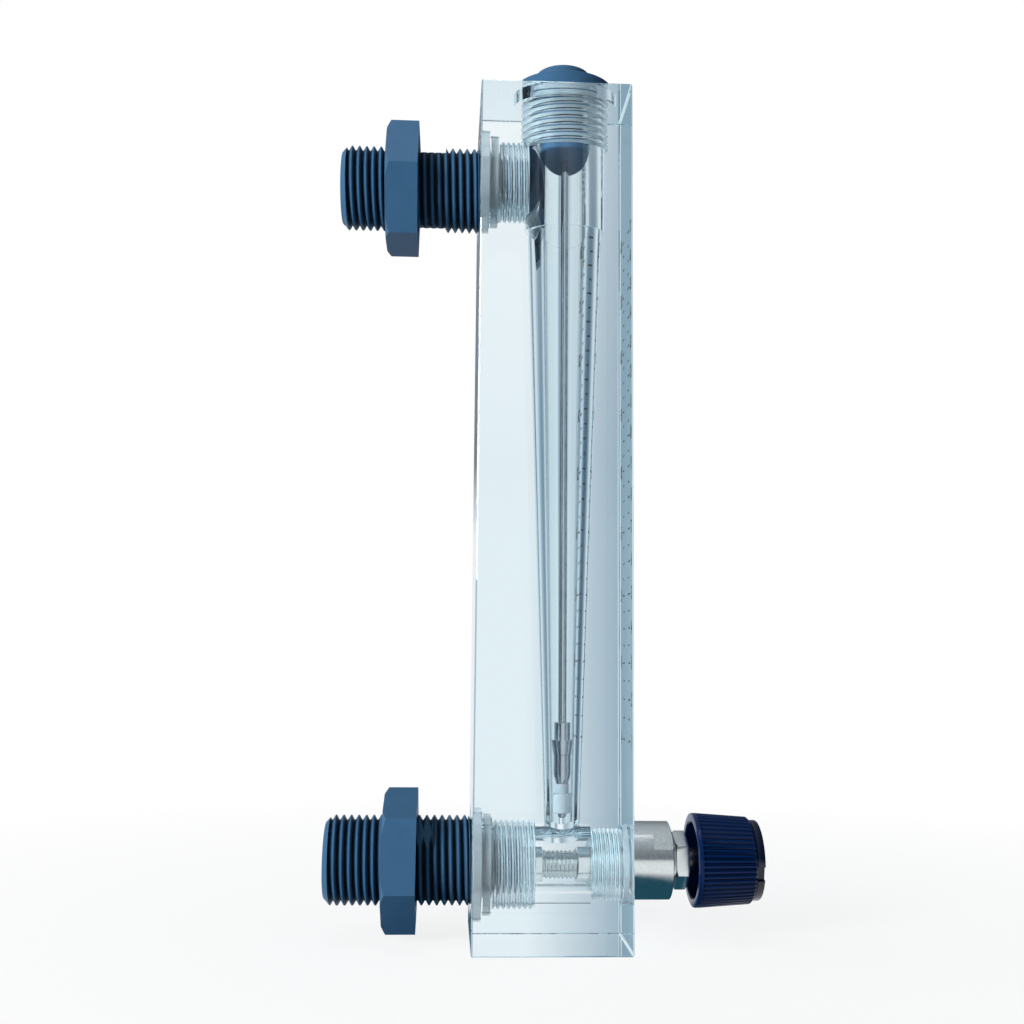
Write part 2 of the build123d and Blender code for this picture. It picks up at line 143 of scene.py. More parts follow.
def draw_outline(name: str, points: list[Vector]) -> Piece:
    """Draw an outline by extruding one corner from point to point.

    Args:
        name: the new object's name.
        points: the corners in metres, in order.

    Returns:
        The object, in edit mode, with its whole outline selected.
    """
    lay_down()
    bpy.ops.mesh.primitive_plane_add(size=MM, enter_editmode=True, location=(0, 0, 0))
    piece = bpy.context.object
    piece.name = piece.data.name = name
    bpy.ops.mesh.select_all(action="SELECT")
    bpy.ops.mesh.merge(type="CENTER")
    bpy.ops.transform.translate(value=points[0])
    for before, after in zip(points, points[1:]):
        bpy.ops.mesh.extrude_region_move(TRANSFORM_OT_translate={"value": after - before})
    bpy.ops.mesh.select_all(action="SELECT")
    return piece


def turn_solid(name: str, lie: Lie, outline: Outline, steps: int = 96) -> Piece:
    """Turn a closed outline about an axis into a solid.

    Args:
        name: the new object's name.
        lie: the axis.
        outline: station and radius of each corner in millimetres; it closes on itself.
        steps: flats round the axis.

    Returns:
        The turned solid.
    """
    points = [lie.point(station, radius) for station, radius in outline]
    piece = draw_outline(name, points + points[:1])
    bpy.ops.mesh.remove_doubles(threshold=SAME)
    bpy.ops.mesh.select_all(action="SELECT")
    bpy.ops.mesh.spin(steps=steps, angle=math.tau, center=lie.centre(), axis=lie.axis(), use_auto_merge=False)
    tidy_mesh(piece)
    return piece


def combine(piece: Piece, tool: Piece, how: Cut) -> None:
    """Cut, join or trim a piece with a tool solid, which is used up.

    Args:
        piece: the piece that stays.
        tool: the solid that shapes it.
        how: what the tool does.
    """
    take(piece)
    bpy.ops.object.modifier_add(type="BOOLEAN")
    modifier = piece.modifiers[-1]
    modifier.object = tool
    modifier.operation = how.value
    modifier.solver = "EXACT"
    bpy.ops.object.modifier_apply(modifier=modifier.name)
    bpy.data.objects.remove(tool, do_unlink=True)


def copy_piece(piece: Piece, name: str, shift: Vector) -> Piece:
    """Copy a piece with its own mesh and move the copy's mesh.

    Args:
        piece: the piece to copy.
        name: the copy's name.
        shift: how far it lies from the first, in metres.

    Returns:
        The copy.
    """
    take(piece)
    bpy.ops.object.duplicate(linked=False)
    twin = bpy.context.object
    twin.name = twin.data.name = name
    twin.data.transform(Matrix.Translation(shift))
    return twin


def soften(piece: Piece, width: float = 0.1, sharp: float = 50.0) -> None:
    """Round the sharp edges of a piece.

    Args:
        piece: the piece.
        width: the edge's width in millimetres.
        sharp: edges of more degrees than this are rounded.
    """
    take(piece)
    bpy.ops.object.modifier_add(type="BEVEL")
    modifier = piece.modifiers[-1]
    modifier.width = width * MM
    modifier.segments = 2
    modifier.limit_method = "ANGLE"
    modifier.angle_limit = math.radians(sharp)
    bpy.ops.object.modifier_apply(modifier=modifier.name)


def along(lie: Lie, x: float, turn: float = 0.0) -> Matrix:
    """Say where a thing goes on a port's axis.

    Args:
        lie: the axis.
        x: the station in millimetres.
        turn: degrees about the axis.

    Returns:
        The matrix that takes it there from the origin.
    """
    return Matrix.Translation(lie.centre() + Vector((x * MM, 0, 0))) @ Matrix.Rotation(math.radians(turn), 4, "X")


def box(place: Matrix) -> Piece:
    """Make a tool whose corners are those of a unit cube, moved by a matrix.

    Args:
        place: the matrix, which also scales it.

    Returns:
        The tool.
    """
    lay_down()
    bpy.ops.mesh.primitive_cube_add(size=1.0, location=(0, 0, 0))
    bpy.context.object.data.transform(place)
    return bpy.context.object


def hexagon(name: str, flats: float, thickness: float, place: Matrix) -> Piece:
    """Saw a slice of hexagon bar.

    Args:
        name: the slice's name.
        flats: its width across flats in millimetres.
        thickness: its length along the port in millimetres.
        place: where its middle goes, with a corner at the far side.

    Returns:
        The slice.
    """
    lay_down()
    bpy.ops.mesh.primitive_cylinder_add(vertices=6, radius=flats / math.sqrt(3) * MM, depth=thickness * MM,
                                        location=(0, 0, 0))
    piece = bpy.context.object
    piece.name = piece.data.name = name
    piece.data.transform(place @ Matrix.Rotation(-math.radians(90), 4, "Y"))
    return piece


def mill_flats(piece: Piece, lie: Lie, stations: tuple[float, float], flats: float, angles: tuple[float, ...]) -> None:
    """Mill wrench flats.

    Args:
        piece: the turned piece.
        lie: its axis.
        stations: where the cutter starts and ends, in millimetres.
        flats: width across the flats in millimetres.
        angles: where each flat faces, in degrees up from the near side.
    """
    start, end = stations
    tall, wide = 4.0, 30.0
    for angle in angles:
        combine(piece, box(along(lie, (start + end) / 2, -angle)
                           @ Matrix.Translation(Vector((0, -(flats + tall) / 2 * MM, 0)))
                           @ Matrix.Diagonal(((end - start) * MM, tall * MM, wide * MM, 1))), Cut.REMOVE)


@dataclass(frozen=True)
class Thread:
    """A screw thread, in millimetres.

    Attributes:
        major: radius over the crests.
        minor: radius at the roots.
        pitch: one turn's advance.
        form: share of the pitch and share of the depth at each corner of one turn.
    """

    major: float
    minor: float
    pitch: float
    form: tuple[tuple[float, float], ...] = (
        (0.0, 0.0), (0.05, 0.03), (0.11, 0.14), (0.385, 0.9), (0.44, 0.985), (0.5, 1.0),
        (0.56, 0.985), (0.615, 0.9), (0.89, 0.14), (0.95, 0.03), (1.0, 0.0),
    )

    def rod(self, name: str, lie: Lie, start: float, end: float, grow: float = 0.0,
            steps: int = 72) -> Piece:
        """Make a threaded rod, whose turns start from one station so that mates nest.

        Args:
            name: the rod's name.
            lie: the axis.
            start: first station in millimetres.
            end: last station in millimetres.
            grow: added to both radii, for the hole that the rod fits.
            steps: flats round the axis.

        Returns:
            A closed helical solid.
        """
        turns = math.ceil(end / self.pitch) - math.floor(start / self.pitch) + 2
        foot = (math.floor(start / self.pitch) - 1) * self.pitch
        depth = self.major - self.minor
        points = [Vector(((self.minor + grow + depth * high) * MM, 0, (foot + share * self.pitch) * MM))
                  for share, high in self.form]
        piece = draw_outline(name, points)
        lay_down()
        take(piece)
        bpy.ops.object.modifier_add(type="SCREW")
        modifier = piece.modifiers[-1]
        modifier.axis = "Z"
        modifier.angle = math.tau
        modifier.screw_offset = self.pitch * MM
        modifier.iterations = turns
        modifier.steps = modifier.render_steps = steps
        bpy.ops.object.modifier_apply(modifier=modifier.name)
        bpy.ops.object.mode_set(mode="EDIT")
        bpy.ops.mesh.select_all(action="SELECT")
        bpy.ops.mesh.remove_doubles(threshold=WELD)
        for station, side in ((start, -1), (end, 1)):
            bpy.ops.mesh.select_all(action="SELECT")
            bpy.ops.mesh.bisect(plane_co=(0, 0, station * MM), plane_no=(0, 0, side), use_fill=True,
                                clear_outer=True, threshold=SAME)
        bpy.ops.mesh.select_all(action="SELECT")
        bpy.ops.mesh.normals_make_consistent(inside=False)
        lay_down()
        centre = lie.centre()
        if lie.upright:
            piece.data.transform(Matrix.Translation(centre))
        else:
            piece.data.transform(Matrix.Translation(centre) @ Matrix.Rotation(math.radians(90), 4, "Y"))
        return piece


PIPE_THREAD = Thread(major=10.4775, minor=9.3155, pitch=1.814)
# A panel nut slides in place of turning, so its crests stand clear of the connector's
NUT_THREAD = Thread(major=11.4, minor=10.6, pitch=1.814)
PORT_THREAD = Thread(major=10.2, minor=9.45, pitch=1.27)
PLUG_THREAD = Thread(major=11.0, minor=9.85, pitch=1.814)
BONNET_THREAD = Thread(major=8.25, minor=7.62, pitch=1.0)
STEM_THREAD = Thread(major=4.95, minor=4.33, pitch=1.0)
THREAD_PLAY = 0.1


# Finishes


def linear(hex_colour: str) -> tuple[float, float, float, float]:
    """Turn an sRGB hex colour into a linear one.

    Args:
        hex_colour: six hex digits.

    Returns:
        Linear red, green, blue and a full alpha.
    """
    channels = [int(hex_colour[i:i + 2], 16) / 255 for i in (0, 2, 4)]
    return tuple(c / 12.92 if c <= 0.04045 else ((c + 0.055) / 1.055) ** 2.4 for c in channels) + (1.0,)


def add_node(tree: Tree, kind: str, settings: dict | None = None,
             links: dict | None = None) -> bpy.types.Node:
    """Add a node with its settings and links.

    Args:
        tree: the node tree.
        kind: the node's type name.
        settings: values by input name, input number or property name.
        links: output sockets by input name or number.

    Returns:
        The node.
    """
    node = tree.nodes.new(kind)
    for key, value in (settings or {}).items():
        if isinstance(key, int) or key in node.inputs:
            node.inputs[key].default_value = value
        else:
            setattr(node, key, value)
    for key, socket in (links or {}).items():
        tree.links.new(socket, node.inputs[key])
    return node


def start_material(name: str) -> tuple[Material, Tree, Socket]:
    """Start a material from nothing.

    Args:
        name: the material's name.

    Returns:
        The material, its empty tree, and the object coordinates in millimetres.
    """
    material = bpy.data.materials.new(name)
    material.use_nodes = True
    tree = material.node_tree
    tree.nodes.clear()
    place = add_node(tree, "ShaderNodeTexCoord")
    in_mm = add_node(tree, "ShaderNodeMapping", {"Scale": (1000, 1000, 1000)}, {"Vector": place.outputs["Object"]})
    return material, tree, in_mm.outputs["Vector"]


def remap(tree: Tree, value: Socket, start: float = 0.0, end: float = 1.0, low: float = 0.0,
          high: float = 1.0) -> Socket:
    """Carry a value over from one range to another, and hold it at the ends."""
    return add_node(tree, "ShaderNodeMapRange", {"From Min": start, "From Max": end, "To Min": low, "To Max": high},
                    {"Value": value}).outputs[0]


def noise(tree: Tree, place: Socket, size: float, detail: float, roughness: float = 0.5) -> Socket:
    """Lay a cloudy pattern whose patches are about so many millimetres wide."""
    return add_node(tree, "ShaderNodeTexNoise", {"Scale": 1 / size, "Detail": detail, "Roughness": roughness},
                    {"Vector": place}).outputs["Fac"]


def bump(tree: Tree, strength: float, height: float, pattern: Socket) -> Socket:
    """Raise a surface by a pattern, by so many millimetres."""
    return add_node(tree, "ShaderNodeBump", {"Strength": strength, "Distance": height * MM},
                    {"Height": pattern}).outputs["Normal"]


def blend(tree: Tree, share: Socket | None, low: str | Socket, high: str | Socket, how: str = "MIX") -> Socket:
    """Blend two colours.

    Args:
        tree: the node tree.
        share: how much of the second one; all of it without a share.
        low: the first colour, as sRGB hex or as a socket.
        high: the second colour.
        how: the way of blending.

    Returns:
        The blended colour.
    """
    settings, links = {"data_type": "RGBA", "blend_type": how}, {}
    if share is None:
        settings[0] = 1.0
    else:
        links[0] = share
    for number, colour in ((6, low), (7, high)):
        if isinstance(colour, str):
            settings[number] = linear(colour)
        else:
            links[number] = colour
    return add_node(tree, "ShaderNodeMix", settings, links).outputs[2]


def choose(tree: Tree, share: Socket, low: bpy.types.Node, high: bpy.types.Node) -> bpy.types.Node:
    """Pass from one shader to another by a share."""
    return add_node(tree, "ShaderNodeMixShader", {}, {0: share, 1: low.outputs[0], 2: high.outputs[0]})


def skin(tree: Tree, settings: dict, links: dict) -> None:
    """Cover the piece with one surface shader."""
    surface = add_node(tree, "ShaderNodeBsdfPrincipled", settings, links)
    add_node(tree, "ShaderNodeOutputMaterial", {}, {"Surface": surface.outputs[0]})


@dataclass(frozen=True)
class ClearAcrylic:
    """Cast PMMA: clear where polished, whitish where a tap has cut it.

    Attributes:
        clear: share of light that goes through the surface; the rest is scattered.
        depth: absorption per metre; only the polished faces carry it.
    """

    name: str = "cast_acrylic_polished"
    roughness: float = 0.0
    clear: float = 1.0
    tint: str = "fbfeff"
    depth_tint: str = "b9e2f0"
    depth: float = 5.0
    ripple: float = 0.015
    ripple_size: float = 14.0
    ior: float = 1.49
    shadow: str = "e4f1f5"

    def material(self) -> Material:
        """Build the material.

        Returns:
            The material.
        """
        material, tree, place = start_material(self.name)
        waves = noise(tree, place, self.ripple_size, 1.0)
        glass = add_node(tree, "ShaderNodeBsdfPrincipled",
                         {"Base Color": linear(self.tint), "Roughness": self.roughness, "IOR": self.ior,
                          "Transmission Weight": self.clear}, {"Normal": bump(tree, self.ripple, 1.0, waves)})
        ray = add_node(tree, "ShaderNodeLightPath")
        clear = add_node(tree, "ShaderNodeBsdfTransparent", {"Color": linear(self.shadow)})
        shown = choose(tree, ray.outputs["Is Shadow Ray"], glass, clear)
        end = add_node(tree, "ShaderNodeOutputMaterial", {}, {"Surface": shown.outputs[0]})
        if self.depth:
            inside = add_node(tree, "ShaderNodeVolumeAbsorption",
                              {"Color": linear(self.depth_tint), "Density": self.depth})
            tree.links.new(inside.outputs[0], end.inputs["Volume"])
        return material


@dataclass(frozen=True)
class MouldedPlastic:
    """Injection-moulded plastic: even colour with a faint cloudiness, a fine moulded grain and painted shade in its
    corners.

    Attributes:
        shadow: the colour of the cloudy patches.
        grain: width of the grain in millimetres.
        deep: the painted shade colour in corners and thread roots.
        root: how far such a corner reaches, in millimetres.
    """

    name: str
    colour: str
    shadow: str
    roughness: float
    grain: float = 0.25
    grain_height: float = 0.01
    sheen: float = 0.5
    deep: str = "020609"
    root: float = 1.2
    cloud: float = 6.0
    ior: float = 1.5

    def material(self) -> Material:
        """Build the material.

        Returns:
            The material.
        """
        material, tree, place = start_material(self.name)
        cloud = noise(tree, place, self.cloud, 4.0, 0.6)
        colour = blend(tree, cloud, self.shadow, self.colour)
        # Painted shade: corners and thread roots, where little light comes, are darkened by ambient occlusion
        corner = add_node(tree, "ShaderNodeAmbientOcclusion",
                          {"Distance": self.root * MM, "samples": 6, "only_local": True}, {"Color": colour})
        skin(tree, {"IOR": self.ior, "Specular IOR Level": self.sheen},
             {"Base Color": blend(tree, remap(tree, corner.outputs["AO"], 0.5, 0.98), self.deep, colour),
              "Roughness": remap(tree, cloud, low=self.roughness - 0.05, high=self.roughness + 0.08),
              "Normal": bump(tree, 0.5, self.grain_height, noise(tree, place, self.grain, 2.0))})
        return material


class Turned(Enum):
    """Which way a lathe's fine rings run on a piece."""

    ALONG_X = (1.0, 0.0, 0.0)
    ALONG_Z = (0.0, 0.0, 1.0)


@dataclass(frozen=True)
class TurnedMetal:
    """Metal off a lathe: fine rings across the axis, a few smears, then plated or polished.

    Attributes:
        worn: the colour of the smears.
        ring: width of the rings in millimetres.
        mottle: width of the smears in millimetres.
        spread: how much the roughness varies.
    """

    name: str
    colour: str
    worn: str
    roughness: float
    turned: Turned
    ring: float = 0.35
    ring_height: float = 0.004
    mottle: float = 3.0
    spread: float = 0.1

    def material(self) -> Material:
        """Build the material.

        Returns:
            The material.
        """
        material, tree, place = start_material(self.name)
        squash = tuple(1.0 if share else 0.02 for share in self.turned.value)
        stretched = add_node(tree, "ShaderNodeMapping", {"Scale": squash}, {"Vector": place})
        rings = noise(tree, stretched.outputs[0], self.ring, 3.0, 0.7)
        smear = noise(tree, place, self.mottle, 5.0, 0.65)
        smoothest = max(self.roughness - self.spread / 2, 0.02)
        skin(tree, {"Metallic": 1.0},
             {"Base Color": blend(tree, smear, self.worn, self.colour),
              "Roughness": remap(tree, smear, low=smoothest, high=self.roughness + self.spread),
              "Normal": bump(tree, 0.6, self.ring_height, rings)})
        return material


@dataclass(frozen=True)
class Ptfe:
    """Milky fluoropolymer: light goes a little way in and comes back white."""

    name: str = "ptfe_machined"
    colour: str = "e0e6ea"
    roughness: float = 0.35
    ior: float = 1.35
    clear: float = 0.6
    milk: float = 0.3
    milk_depth: float = 0.002
    ring: float = 0.4

    def material(self) -> Material:
        """Build the material.

        Returns:
            The material.
        """
        material, tree, place = start_material(self.name)
        skin(tree, {"Base Color": linear(self.colour), "Roughness": self.roughness, "IOR": self.ior,
                    "Transmission Weight": self.clear, "Subsurface Weight": self.milk,
                    "Subsurface Scale": self.milk_depth},
             {"Normal": bump(tree, 0.3, 0.02, noise(tree, place, self.ring, 2.0))})
        return material


@dataclass(frozen=True)
class Silicone:
    """Translucent silicone: clear in thin rings, with a milky depth and a matt moulded skin."""

    name: str = "silicone_translucent"
    colour: str = "e6eff4"
    milk: str = "d9e6ee"
    roughness: float = 0.1
    ior: float = 1.41
    cloud: float = 2.5

    def material(self) -> Material:
        """Build the material.

        Returns:
            The material.
        """
        material, tree, place = start_material(self.name)
        cloud = noise(tree, place, self.cloud, 3.0)
        skin(tree, {"Roughness": self.roughness, "IOR": self.ior},
             {"Base Color": blend(tree, cloud, self.milk, self.colour),
              "Transmission Weight": remap(tree, cloud, low=0.6, high=0.66),
              "Normal": bump(tree, 0.4, 0.02, cloud)})
        return material


class Finishes:
    """Every finish of the meter, made once."""

    def __init__(self) -> None:
        """Build the materials."""
        self.acrylic = ClearAcrylic().material()
        self.tapped = ClearAcrylic("cast_acrylic_tapped", 0.25, 0.55, "dff0f7", depth=0.0, ripple=0.1,
                                   ripple_size=0.8).material()
        self.slate = MouldedPlastic("upvc_slate_moulded", "3f6586", "375a79", 0.36, sheen=0.05).material()
        self.knob = MouldedPlastic("abs_navy_gloss", "022150", "021a3e", 0.14, sheen=0.15, root=0.6).material()
        self.cap = MouldedPlastic("abs_black_polished", "07142f", "050e22", 0.12, grain_height=0.002,
                                  root=0.6).material()
        self.nickel_x = TurnedMetal("nickel_plated_brass", "f2f6f7", "cfd3d2", 0.14, Turned.ALONG_X,
                                    mottle=0.7, spread=0.16).material()
        self.steel_z = TurnedMetal("stainless_polished", "ccd0d4", "abb0b6", 0.05, Turned.ALONG_Z,
                                   ring_height=0.0005, spread=0.03).material()
        self.steel_x = TurnedMetal("stainless_screw", "d4d6d9", "b0b4b9", 0.22, Turned.ALONG_X).material()
        self.ptfe = Ptfe().material()
        self.silicone = Silicone().material()
        self.ink = MouldedPlastic("screen_ink_black", "10161b", "151d23", 0.6).material()


def dress(piece: Piece, material: Material, body: str, node: str | None = None,
          angle: float | None = 32.0) -> None:
    """Shade a piece and give it its finish, its body and the node it stands for.

    Args:
        piece: the finished piece.
        material: its finish.
        body: the body it rides on.
        node: the node that it replaces, where it does.
        angle: edges blunter than this many degrees are smooth; without it every face stays flat.
    """
    take(piece)
    if angle is not None:
        bpy.ops.object.shade_smooth_by_angle(angle=math.radians(angle))
    lay_down()
    piece.data.materials.clear()
    piece.data.materials.append(material)
    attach(piece, body)
    if node:
        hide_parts(node)
    log.info("%s: %d faces on %s", piece.name, len(piece.data.polygons), body)


# Sub-assemblies

VALVE = Lie.LOWER_PORT


@dataclass
class Assembly:
    """A sub-assembly, which dresses its pieces in the meter's finishes."""

    finishes: Finishes


@dataclass
class ClearBlock(Assembly):
    """The acrylic block with every hole cut in it, in millimetres.

    Attributes:
        flank: where a thread's frosted flank starts and ends, as shares of the thread's depth.
    """

    width: float = 37.0
    depth: float = 37.0
    height: float = 207.0
    bevel: float = 0.4
    tube_top: float = 9.25
    tube_foot: float = 4.3
    tube_top_z: float = 172.8
    chamber: float = 10.0
    thread_foot_z: float = 193.8
    recess: float = 13.0
    recess_z: float = 205.4
    outer_recess: float = 13.0
    outer_depth: float = 2.5
    inner_recess: float = 11.65
    inner_depth: float = 2.3
    lower_thread_end: float = -3.6
    upper_thread_end: float = -6.3
    lower_bore: float = 9.4
    lower_bore_front: float = 9.5
    bonnet_thread_end: float = 16.8
    front_recess: float = 9.35
    flank: tuple[float, float] = (0.2, 0.85)

    def blank(self) -> Piece:
        """Saw the blank and break its edges.

        Returns:
            The blank.
        """
        lay_down()
        bpy.ops.mesh.primitive_cube_add(size=1.0, enter_editmode=True, location=(0, 0, 0))
        piece = bpy.context.object
        piece.name = piece.data.name = "clear_block"
        bpy.ops.mesh.select_all(action="SELECT")
        bpy.ops.transform.resize(value=(self.width * MM, self.depth * MM, self.height * MM))
        bpy.ops.transform.translate(value=(0, 0, self.height / 2 * MM))
        bpy.ops.mesh.bevel(offset=self.bevel * MM, segments=2, affect="EDGES")
        lay_down()
        return piece

    def holes(self) -> list[Piece]:
        """Make the solids of all the holes.

        Returns:
            The solids, in the order in which they are cut.
        """
        back = -self.width / 2
        front = self.width / 2
        inner = back + self.outer_depth + self.inner_depth
        bore_top = LOWER_Z + self.lower_bore
        tools = [
            turn_solid("tube_hole", Lie.TUBE, [
                (LOWER_Z, 0), (LOWER_Z, self.tube_foot), (bore_top, self.tube_foot), (self.tube_top_z, self.tube_top),
                (self.tube_top_z, self.chamber), (self.thread_foot_z + 0.2, self.chamber),
                (self.thread_foot_z + 0.2, 9.5), (self.recess_z + 0.2, 9.5), (self.recess_z + 0.2, 0)], 128),
            turn_solid("head_recess", Lie.TUBE, [
                (self.recess_z, 0), (self.recess_z, self.recess), (self.height + 1, self.recess),
                (self.height + 1, 0)], 128),
            PLUG_THREAD.rod("plug_hole", Lie.TUBE, self.thread_foot_z, self.recess_z + 0.15, THREAD_PLAY, 96),
            turn_solid("lower_bore", Lie.LOWER_PORT, [
                (inner - 0.5, 0), (inner - 0.5, 9.0), (self.lower_thread_end, 9.0),
                (self.lower_thread_end, self.lower_bore), (self.lower_bore_front, self.lower_bore),
                (self.lower_bore_front, 7.0), (front - 1, 7.0), (front - 1, 0)], 128),
            turn_solid("front_recess", Lie.LOWER_PORT, [
                (self.bonnet_thread_end, 0), (self.bonnet_thread_end, self.front_recess),
                (front + 1, self.front_recess), (front + 1, 0)], 128),
            BONNET_THREAD.rod("bonnet_hole", Lie.LOWER_PORT, self.lower_bore_front - 0.2,
                              self.bonnet_thread_end + 0.15, THREAD_PLAY, 96),
        ]
        for lie, end in ((Lie.LOWER_PORT, self.lower_thread_end), (Lie.UPPER_PORT, self.upper_thread_end)):
            tools.append(turn_solid("port_recess", lie, [
                (back - 1, 0), (back - 1, self.outer_recess), (back + self.outer_depth, self.outer_recess),
                (back + self.outer_depth, self.inner_recess), (inner, self.inner_recess), (inner, 0)], 128))
            tools.append(PORT_THREAD.rod("port_hole", lie, inner - 0.15, end, THREAD_PLAY, 96))
        return tools

    def tapped(self, point: Vector) -> bool:
        """Tell whether a face's middle, in metres, lies on a flank of one of the tapped threads.

        Args:
            point: the middle of the face.

        Returns:
            Whether a tap has cut it.
        """
        inner = -self.width / 2 + self.outer_depth + self.inner_depth
        for lie, thread, start, end in (
                (Lie.TUBE, PLUG_THREAD, self.thread_foot_z, self.recess_z),
                (Lie.LOWER_PORT, BONNET_THREAD, self.lower_bore_front, self.bonnet_thread_end),
                (Lie.LOWER_PORT, PORT_THREAD, inner, self.lower_thread_end),
                (Lie.UPPER_PORT, PORT_THREAD, inner, self.upper_thread_end)):
            arm = (point - lie.centre()) / MM
            station = point.dot(lie.axis()) / MM
            radius = (arm - lie.axis() * arm.dot(lie.axis())).length
            height = (radius - thread.minor - THREAD_PLAY) / (thread.major - thread.minor)
            if start < station < end and self.flank[0] < height < self.flank[1]:
                return True
        return False

    def build(self) -> None:
        """Cut the block and dress it."""
        piece = self.blank()
        for tool in self.holes():
            combine(piece, tool, Cut.REMOVE)
        tidy_mesh(piece, CLOSE)
        dress(piece, self.finishes.acrylic, "block", "acrylic_body", 15)
        piece.data.materials.append(self.finishes.tapped)
        for face in piece.data.polygons:
            face.material_index = int(self.tapped(face.center))


@dataclass
class TubeFittings(Assembly):
    """The plug, its ring, the guide rod, the stop and the float, in millimetres."""

    head_z: float = 207.0
    tip_z: float = 192.8

    def plug(self) -> None:
        """Mould the plug: threaded shank, domed head, boss and key socket."""
        piece = PLUG_THREAD.rod("screw_plug", Lie.TUBE, self.tip_z + 3.2, self.head_z + 0.5, 0.0, 96)
        combine(piece, turn_solid("plug_core", Lie.TUBE, [
            (self.tip_z, 0), (self.tip_z, 9.1), (self.tip_z + 0.3, 9.4), (self.tip_z + 3.4, 9.4),
            (self.tip_z + 3.4, 0)]), Cut.ADD)
        head = turn_solid("plug_head", Lie.TUBE, [
            (self.head_z, 0), (self.head_z, 12.7), (self.head_z + 0.4, 13.1), (212.4, 13.1), (212.7, 12.98),
            (213.1, 12.3), (213.6, 11.3), (214.05, 10.2), (214.4, 9.2), (214.7, 8.2), (214.85, 7.6), (215.0, 7.3),
            (215.3, 7.2), (216.4, 7.2), (216.78, 7.12), (217.1, 6.9), (217.32, 6.6), (217.4, 6.2), (217.4, 0)])
        combine(piece, head, Cut.ADD)
        lay_down()
        bpy.ops.mesh.primitive_cylinder_add(vertices=6, radius=3.0 / math.cos(math.pi / 6) * MM, depth=6.0 * MM,
                                            location=(TUBE_X * MM, 0, 217.4 * MM))
        combine(piece, bpy.context.object, Cut.REMOVE)
        combine(piece, turn_solid("rod_socket", Lie.TUBE, [
            (self.tip_z - 1, 0), (self.tip_z - 1, 1.52), (self.tip_z + 8, 1.52), (self.tip_z + 8, 0)], 48), Cut.REMOVE)
        tidy_mesh(piece, CLOSE)
        dress(piece, self.finishes.slate, "block", "top_plug")

    def ring(self) -> None:
        """Mould the ring under the plug's head."""
        piece = turn_solid("plug_ring", Lie.TUBE, [
            (205.42, 11.5), (205.55, 11.22), (205.8, 11.12), (206.6, 11.12), (206.85, 11.22), (206.98, 11.5),
            (206.98, 12.6), (206.85, 12.86), (206.6, 12.97), (205.8, 12.97), (205.55, 12.86), (205.42, 12.6)])
        dress(piece, self.finishes.silicone, "block", "top_plug_seal", 50)

    def rod_and_stop(self) -> None:
        """Turn the guide rod and the stop at its foot."""
        piece = turn_solid("guide_rod", Lie.TUBE, [
            (29.1, 0), (29.1, 1.2), (29.4, 1.5), (200.7, 1.5), (200.7, 0)], 64)
        dress(piece, self.finishes.steel_z, "block", "guide_rod")
        piece = turn_solid("float_stop", Lie.TUBE, [
            (30.3, 1.52), (30.3, 3.0), (30.5, 3.2), (34.55, 3.2), (34.75, 3.0), (34.75, 2.4), (36.85, 2.4),
            (37.0, 2.25), (37.0, 1.52)], 64)
        dress(piece, self.finishes.ptfe, "block", "float_stop")

    def float_piece(self) -> None:
        """Turn the float: nose, barrel, flared reading edge and neck."""
        foot = 37.02
        piece = turn_solid("float", Lie.TUBE, [
            (foot, 1.6), (foot, 2.15), (foot + 0.1, 2.25), (foot + 2.3, 3.08), (foot + 2.5, 3.1), (foot + 6.7, 3.1),
            (foot + 6.82, 3.0), (foot + 6.94, 3.25), (foot + 10.1, 3.93), (foot + 10.3, 3.95), (foot + 10.4, 3.9),
            (foot + 10.4, 2.95), (foot + 10.5, 2.9), (foot + 14.4, 2.9), (foot + 14.5, 2.8), (foot + 14.5, 1.6)])
        dress(piece, self.finishes.steel_z, "float", "float_body")

    def build(self) -> None:
        """Build all the fittings of the tube."""
        self.plug()
        self.ring()
        self.rod_and_stop()
        self.float_piece()


